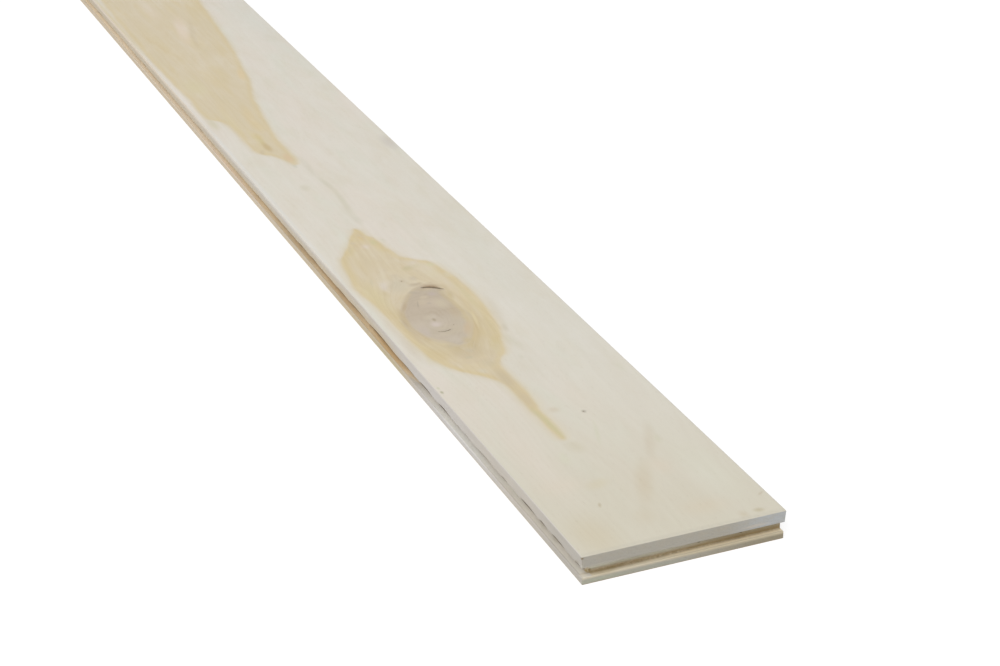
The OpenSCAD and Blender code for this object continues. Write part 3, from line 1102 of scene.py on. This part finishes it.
def long_edge_material(tree, colours):
    """The two long sides: washed lips, and bare wood in the groove and on the tongue."""
    place = place_on_board(tree)
    x, y, z = split(place)
    fibres = use(tree, "wood_fibres", Place=place, Fibre=0.45, Stretch=45.0)
    raw = raw_wood(place, fibres, colours.raw_side, colours.raw_side_dark, 0.45)
    raw = face_spots(raw, place, SIDE_MARKS)
    # Painted shade deep in the side groove, under the upper lip, along the whole length.
    deep_shade = x.ramp(4.9, 5.1) * z.ramp(7.4, 4.9) * x.ramp(20.0, 10.0) * y.ramp(6.0, 14.0)

    paint = lay(colours.lip_paint, colours.lip_warm, curve(y, SIDE_WARMTH))
    paint = lay(paint, colours.lip_grey, curve(y, SIDE_GREY))
    mottled = cloud(place, (7, 26, 7), 4.0, 0.6).ramp(0.38, 0.7)
    paint = lay(paint, colours.lip_grey, mottled * 0.30)
    paint = lay(paint, tone(150, 134, 110), fibres["Streaks"] * 0.16)

    # The wash is full on the lips, fades into the groove and stops on the tongue.
    splash = y.ramp(290.0, 215.0) * x.ramp(20.0, 10.0)
    raw = lay(raw, colours.inner_wash, splash * 0.6)
    dripped = splash * 0.6 + z
    lips = x.ramp(1.9, 1.2).most(dripped.ramp(JOINT_TOP, JOINT_TOP + 0.6)).most(z.ramp(4.9, 4.4))
    low_lip = z.ramp(5.0, 4.5) * y.ramp(230.0, 290.0)
    low_colour = lay(colours.lip_low, colours.lip_far, y.ramp(330.0, 600.0))
    paint = lay(paint, low_colour, low_lip * 0.8)
    drop = z.ramp(16.8, 12.6) * z.ramp(9.0, 10.0) * y.ramp(250.0, 310.0)
    paint = lay(paint, colours.lip_low, drop * 0.55)
    crown = z.ramp(15.5, 17.8) * y.ramp(350.0, 440.0)
    paint = lay(paint, colours.lip_crown, crown * 0.65)
    paint = face_spots(paint, place, LIP_MARKS)
    paint = lay(paint, colours.inner_wash, (1.0 - lips) * splash)
    cover = (lips * 0.96).most(splash * 0.8 + y.ramp(500.0, 680.0, 0.22, 0.34))
    wash = use(
        tree, "white_wash", Place=place, Streaks=fibres["Streaks"], Cover=cover, Patch=(6, 38, 6),
    )["Cover"]
    colour = lay(raw, paint, wash)
    colour = lay(colour, colours.deep_shade, deep_shade * 0.9)
    colour = lay(colour, colours.raw_side_dark, bare_wood(tree) * 0.75)
    colour = edge_spots(colour, place, CORNER_MARKS + LEDGE_MARKS)
    # Painted shade: the top of the lip is greyed near the grooved end, where the softbox would light the
    # arris brightly.
    arris_shade = z.ramp(18.1, 18.6) * y.ramp(440.0, 330.0)
    colour = lay(colour, colours.lip_grey, arris_shade * 0.75)
    # Painted shade: darker towards the bottom edge, where the floor meets the board.
    foot = z.ramp(0.9, 0.0) * cloud(place, (3, 12, 3), 3.0).ramp(0.35, 0.6)
    colour = lay(colour, colours.raw_side_dark, foot * 0.6)
    finish(tree, colour, wash * -0.12 + 0.72, wash * 0.35 + fibres["Relief"], 0.2, 0.5)


def end_edge_material(tree, colours):
    """The two ends: washed lips over end grain, and dark burnished end grain in the groove."""
    place = place_on_board(tree)
    x, y, z = split(place)
    fibres = use(tree, "wood_fibres", Place=place, Fibre=0.4, Stretch=40.0)
    raw = raw_wood(place, fibres, colours.raw_end, colours.raw_end_dark, 0.3)
    torn = cloud(place, (1.6, 30, 0.8), 4.0, 0.65).ramp(0.45, 0.75)
    raw = lay(raw, tone(104, 82, 52), torn * 0.45)
    rightward = x.ramp(30.0, 75.0)
    ledge = lay(colours.end_ledge, colours.end_crest, rightward * y.ramp(1.8, 2.8))
    ledge = lay(ledge, colours.end_brow, rightward * y.ramp(2.2, 1.2))
    raw = lay(raw, ledge, z.ramp(5.4, 4.9) * (rightward * -0.9 + y).ramp(4.6, 2.0))
    near_end = y.ramp(30.0, 20.0)
    deep = x.ramp(10.0, 105.0) * z.ramp(4.76, 5.2) * near_end
    raw = lay(raw, colours.raw_end_dark, deep * 0.85)
    misted = z.ramp(5.4, 7.5) * x.ramp(96.0, 46.0, 0.25, 0.95) * (y.ramp(4.6, 5.0) * near_end)
    raw = lay(raw, colours.end_mist, misted)

    paint = lay(colours.end_paint, colours.end_grey, x.ramp(86.0, 118.0))
    mottled = cloud(place, (9, 9, 3), 4.0, 0.65).ramp(0.4, 0.68)
    paint = lay(paint, tone(176, 166, 146), mottled * 0.35)
    paint = lay(paint, tone(120, 108, 88), fibres["Pores"] * 0.5)
    lower = z.ramp(5.2, 4.6)
    paint = lay(paint, colours.end_low, lower * x.ramp(55.0, 118.0))
    paint = lay(paint, ledge, lower * z.ramp(2.6, 4.6))

    dripped = z + x.ramp(100.0, 30.0, 0.0, 0.6) * near_end
    over_joint = dripped.ramp(JOINT_TOP - 0.5, JOINT_TOP + 0.1)
    cover = y.ramp(1.9, 1.2).most(over_joint).most(z.ramp(4.9, 4.4)) * 0.82 + 0.12
    wash = use(
        tree, "white_wash", Place=place, Streaks=fibres["Streaks"], Cover=cover, Patch=(12, 12, 3.6),
    )["Cover"]
    colour = lay(raw, paint, wash)
    colour = edge_spots(colour, place, CORNER_MARKS)
    # Painted shade: darker towards the bottom edge, where the floor meets the board.
    foot = z.ramp(1.1, 0.5) * cloud(place, (9, 9, 2), 3.0).ramp(0.2, 0.5)
    colour = lay(colour, colours.end_low, foot * 0.5)
    colour = lay(colour, colours.raw_end_dark, bare_wood(tree) * 0.7)
    finish(tree, colour, wash * -0.1 + 0.8, fibres["Relief"] - torn * 0.8, 0.3, 0.6)


def back_material(tree, colours):
    """The bare planed back, with rings, mineral streaks and faint planer ripples."""
    place = place_on_board(tree)
    grain = place
    knots = []
    for centre, reach, core, turn, spacing in BACK_KNOTS:
        knots.append(use(
            tree, "round_knot", Place=grain, Centre=(*centre, 0), Reach=(*reach, DEEP),
            Core=(*core, 0), Turn=math.radians(turn), Spacing=spacing,
        ))
        grain = knots[-1]["Grain"]
    fibres = use(tree, "wood_fibres", Place=grain, Fibre=0.6, Stretch=60.0)
    colour = raw_wood(grain, fibres, colours.back, colours.back_dark, 0.4)
    mineral = cloud(place, (7, 170, 7), 3.0, 0.6, (4, 1, 2)).ramp(0.62, 0.78)
    colour = lay(colour, tone(132, 112, 92), mineral * 0.4)
    heart = cloud(place, (60, 500, 60), 2.0, 0.4, (1, 3, 5)).ramp(0.5, 0.58)
    colour = lay(colour, colours.raw_side_dark, heart * 0.35)
    for knot in knots:
        distance = knot["Distance"]
        colour = lay(colour, colours.back_dark, distance.ramp(2.2, 1.0) * 0.45)
        wood = lay(colours.back_knot, colours.back_knot_ring, knot["Rings"] * 0.65)
        colour = lay(colour, wood, distance.ramp(1.04, 0.92))
        bark = distance.ramp(0.84, 0.96) * distance.ramp(1.12, 1.0)
        colour = lay(colour, colours.crack, bark * 0.6)
    handled = cloud(place, (40, 120, 40), 4.0, 0.6, (2, 2, 2)).ramp(0.55, 0.75)
    colour = lay(colour, tone(140, 128, 108), handled * 0.15)
    along = split(place)[1]
    ripple = reckon("SINE", along * (math.tau / PLANER_STEP) + handled * 4.0)
    finish(tree, colour, fibres["Streaks"] * 0.1 + 0.68, ripple * 0.2 + fibres["Relief"], 0.2, 0.4)


FINISHES = {
    "face": face_material, "long_edge": long_edge_material, "end_edge": end_edge_material,
    "back": back_material,
}


# ---------------------------------------------------------------- the stage


def seen_rays(tree):
    """1 for rays of the camera, mirrors and glass, and 0 for rays that light the board."""
    rays = put(tree, "LightPath")
    bounced = Flow(rays, "Is Glossy Ray").most(Flow(rays, "Is Transmission Ray"))
    return Flow(rays, "Is Camera Ray").most(bounced)


def make_floor(settings):
    """The floor, open under the middle of the board so that its back is seen from below."""
    bm = bmesh.new()
    bmesh.ops.create_grid(bm, x_segments=1, y_segments=1, size=FLOOR_REACH)
    for axis, half in ((Vector((1, 0, 0)), WIDTH / 2), (Vector((0, 1, 0)), LENGTH / 2)):
        for side in (1, -1):
            bmesh.ops.bisect_plane(
                bm, geom=bm.verts[:] + bm.edges[:] + bm.faces[:],
                plane_co=axis * (half - settings.bearing) * side, plane_no=axis,
            )
    covered = [face for face in bm.faces if face.calc_center_median().length < 1 * MM]
    bmesh.ops.delete(bm, geom=covered, context="FACES")
    mesh = bpy.data.meshes.new("studio_floor")
    bm.to_mesh(mesh)
    bm.free()
    floor = new_object("studio_floor", mesh)
    material = bpy.data.materials.new("studio_floor")
    floor_material(empty_tree(material), settings)
    mesh.materials.append(material)
    return floor


def floor_material(tree, settings):
    """Plain pale floor that is seen as white, and still takes the board's shadow."""
    plain = put(tree, "BsdfDiffuse", {"Color": settings.floor})
    white = put(tree, "BsdfDiffuse", {"Color": (0.3, 0.3, 0.3)})
    glow = put(tree, "Emission", {"Color": WHITE, "Strength": settings.glow})
    shown = put(tree, "AddShader", {0: white, 1: glow})
    both = put(tree, "MixShader", {0: seen_rays(tree), 1: plain, 2: shown})
    put(tree, "OutputMaterial", {"Surface": both})


def make_softbox(settings):
    """A large square softbox that faces the middle of the board."""
    light = bpy.data.lights.new("key_softbox", "AREA")
    light.shape = "SQUARE"
    light.size = SOFTBOX_SIZE
    light.energy = settings.lamp
    lamp = new_object("key_softbox", light)
    lamp.location = SOFTBOX_PLACE
    lamp.rotation_euler = (-SOFTBOX_PLACE).to_track_quat("-Z", "Y").to_euler()
    lamp.visible_camera = False


def make_world(settings):
    """Even room light, and plain white where the camera looks past the floor."""
    world = bpy.data.worlds.new("studio_world")
    bpy.context.scene.world = world
    tree = empty_tree(world)
    room = put(tree, "Background", {"Color": WHITE, "Strength": settings.sky})
    white = put(tree, "Background", {"Color": WHITE, "Strength": 1.0})
    both = put(tree, "MixShader", {0: seen_rays(tree), 1: room, 2: white})
    put(tree, "OutputWorld", {"Surface": both})


def make_camera(settings):
    """The camera, which aims at a point on the floor under the board."""
    data = bpy.data.cameras.new("studio_camera")
    data.lens = settings.lens
    data.sensor_width = 36
    data.clip_end = CAMERA_REACH
    camera = new_object("studio_camera", data)
    turn, rise = settings.azimuth, settings.elevation
    aim = Vector((settings.aim_across, NEAR + settings.aim_along, 0))
    flat = math.cos(rise)
    back = Vector((-math.sin(turn) * flat, -math.cos(turn) * flat, math.sin(rise)))
    camera.location = aim + back * settings.distance
    camera.rotation_euler = (math.pi / 2 - rise, 0, -turn)
    bpy.context.scene.camera = camera


# ---------------------------------------------------------------- operators and panel


class BOARD_OT_mill(Operator):
    """Mills the board, weathers it and gives it its four finishes"""

    bl_idname = "board.mill"
    bl_label = "Mill the Board"
    bl_options = {"REGISTER", "UNDO"}

    def execute(self, context):
        scene = context.scene
        board = mill_board(scene.board_sizes)
        make_groups()
        for name, make in FINISHES.items():
            material = bpy.data.materials.new("board_" + name)
            make(empty_tree(material), scene.board_colours)
            board.data.materials.append(material)
        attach(board, "root")
        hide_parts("board")
        return {"FINISHED"}


class BOARD_OT_stage(Operator):
    """Lays the studio floor, hangs the softbox and sets up the camera"""

    bl_idname = "board.stage"
    bl_label = "Set the Stage"
    bl_options = {"REGISTER", "UNDO"}

    def execute(self, context):
        settings = context.scene.board_stage
        make_floor(settings)
        make_softbox(settings)
        make_world(settings)
        make_camera(settings)
        context.scene.view_settings.view_transform = "Standard"
        return {"FINISHED"}


class BOARD_PT_panel(Panel):
    """Lists the two operators, each with its settings"""

    bl_idname = "BOARD_PT_panel"
    bl_label = "Tongue and Groove Board"
    bl_space_type = "VIEW_3D"
    bl_region_type = "UI"
    bl_category = "Board"

    def draw(self, context):
        scene = context.scene
        for operator, settings in (
            ("board.mill", (scene.board_sizes, scene.board_colours)),
            ("board.stage", (scene.board_stage,)),
        ):
            self.layout.operator(operator)
            for group in settings:
                box = self.layout.box()
                for name in group.__annotations__:
                    box.prop(group, name)


CLASSES = (
    BoardSizes, BoardColours, StageSettings, BOARD_OT_mill, BOARD_OT_stage, BOARD_PT_panel,
)


def register():
    for item in CLASSES:
        bpy.utils.register_class(item)
    bpy.types.Scene.board_sizes = PointerProperty(type=BoardSizes)
    bpy.types.Scene.board_colours = PointerProperty(type=BoardColours)
    bpy.types.Scene.board_stage = PointerProperty(type=StageSettings)


def unregister():
    del bpy.types.Scene.board_sizes
    del bpy.types.Scene.board_colours
    del bpy.types.Scene.board_stage
    for item in reversed(CLASSES):
        bpy.utils.unregister_class(item)


def main():
    register()
    bpy.ops.board.mill()
    bpy.ops.board.stage()


if __name__ == "__main__":
    main()
